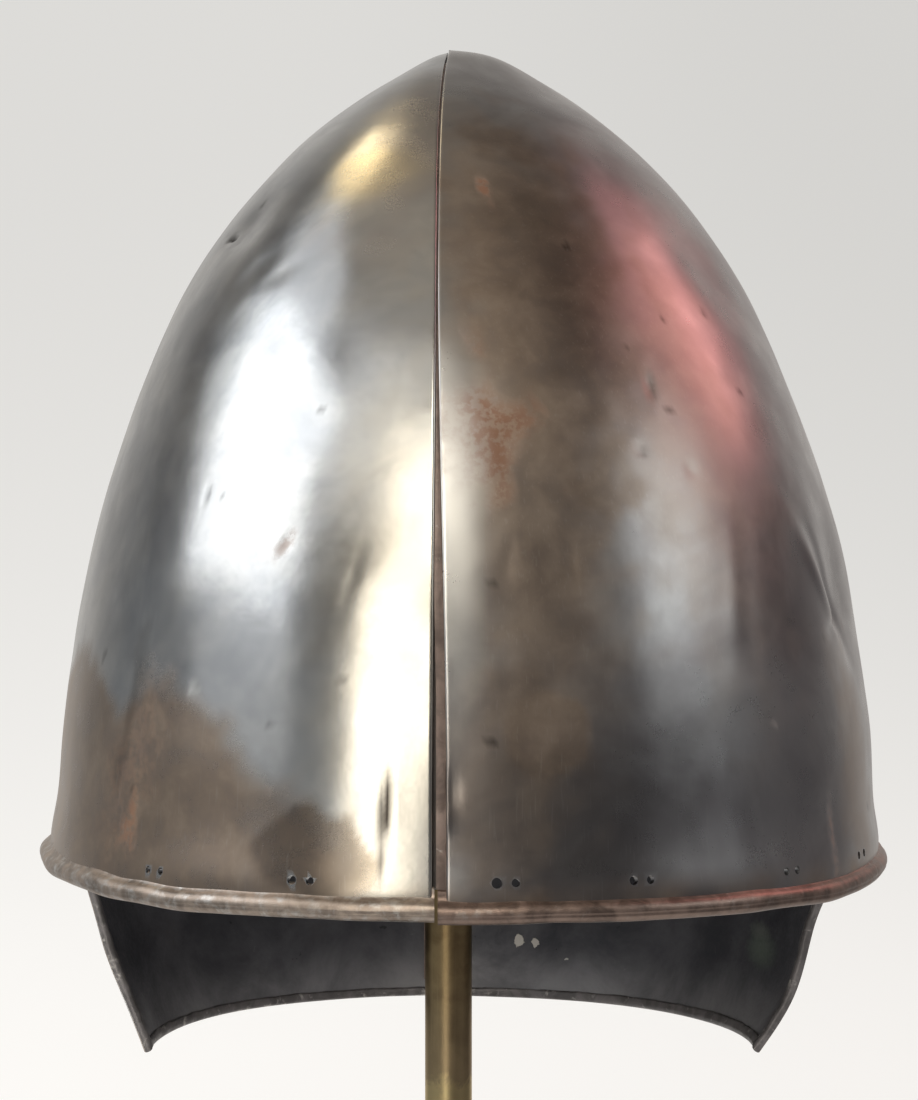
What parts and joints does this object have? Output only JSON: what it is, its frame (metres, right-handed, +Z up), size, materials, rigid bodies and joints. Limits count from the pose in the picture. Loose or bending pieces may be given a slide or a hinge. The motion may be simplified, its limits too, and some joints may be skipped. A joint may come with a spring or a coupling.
{
  "type": "bascinet on a display stand",
  "caption": "Pointed steel bascinet skull of two lapped halves with a rolled brow and a nape guard, held up by a brass rod on a plain round base.",
  "frame": {"origin": "centre of the base's underside, on the rod's axis, straight under the helmet's apex", "axes": "+Z up along the rod, -Y towards the front of the helmet, -X towards the half that overlaps at the seam, which is the wearer's right"},
  "size_m": [0.224, 0.2516, 0.3675],
  "materials": {
    "skull_steel_left": "burnished and patinated, with brown stains",
    "skull_steel_right": "burnished and patinated, with brown stains",
    "rod_brass": "browned by handling",
    "block_wood": "plain",
    "base_paint": "satin"
  },
  "bodies": {
    "root": {"skull_left": "skull_steel_left", "skull_right": "skull_steel_right", "stand_rod": "rod_brass", "stand_block": "block_wood", "stand_base": "base_paint"}
  },
  "joints": []
}
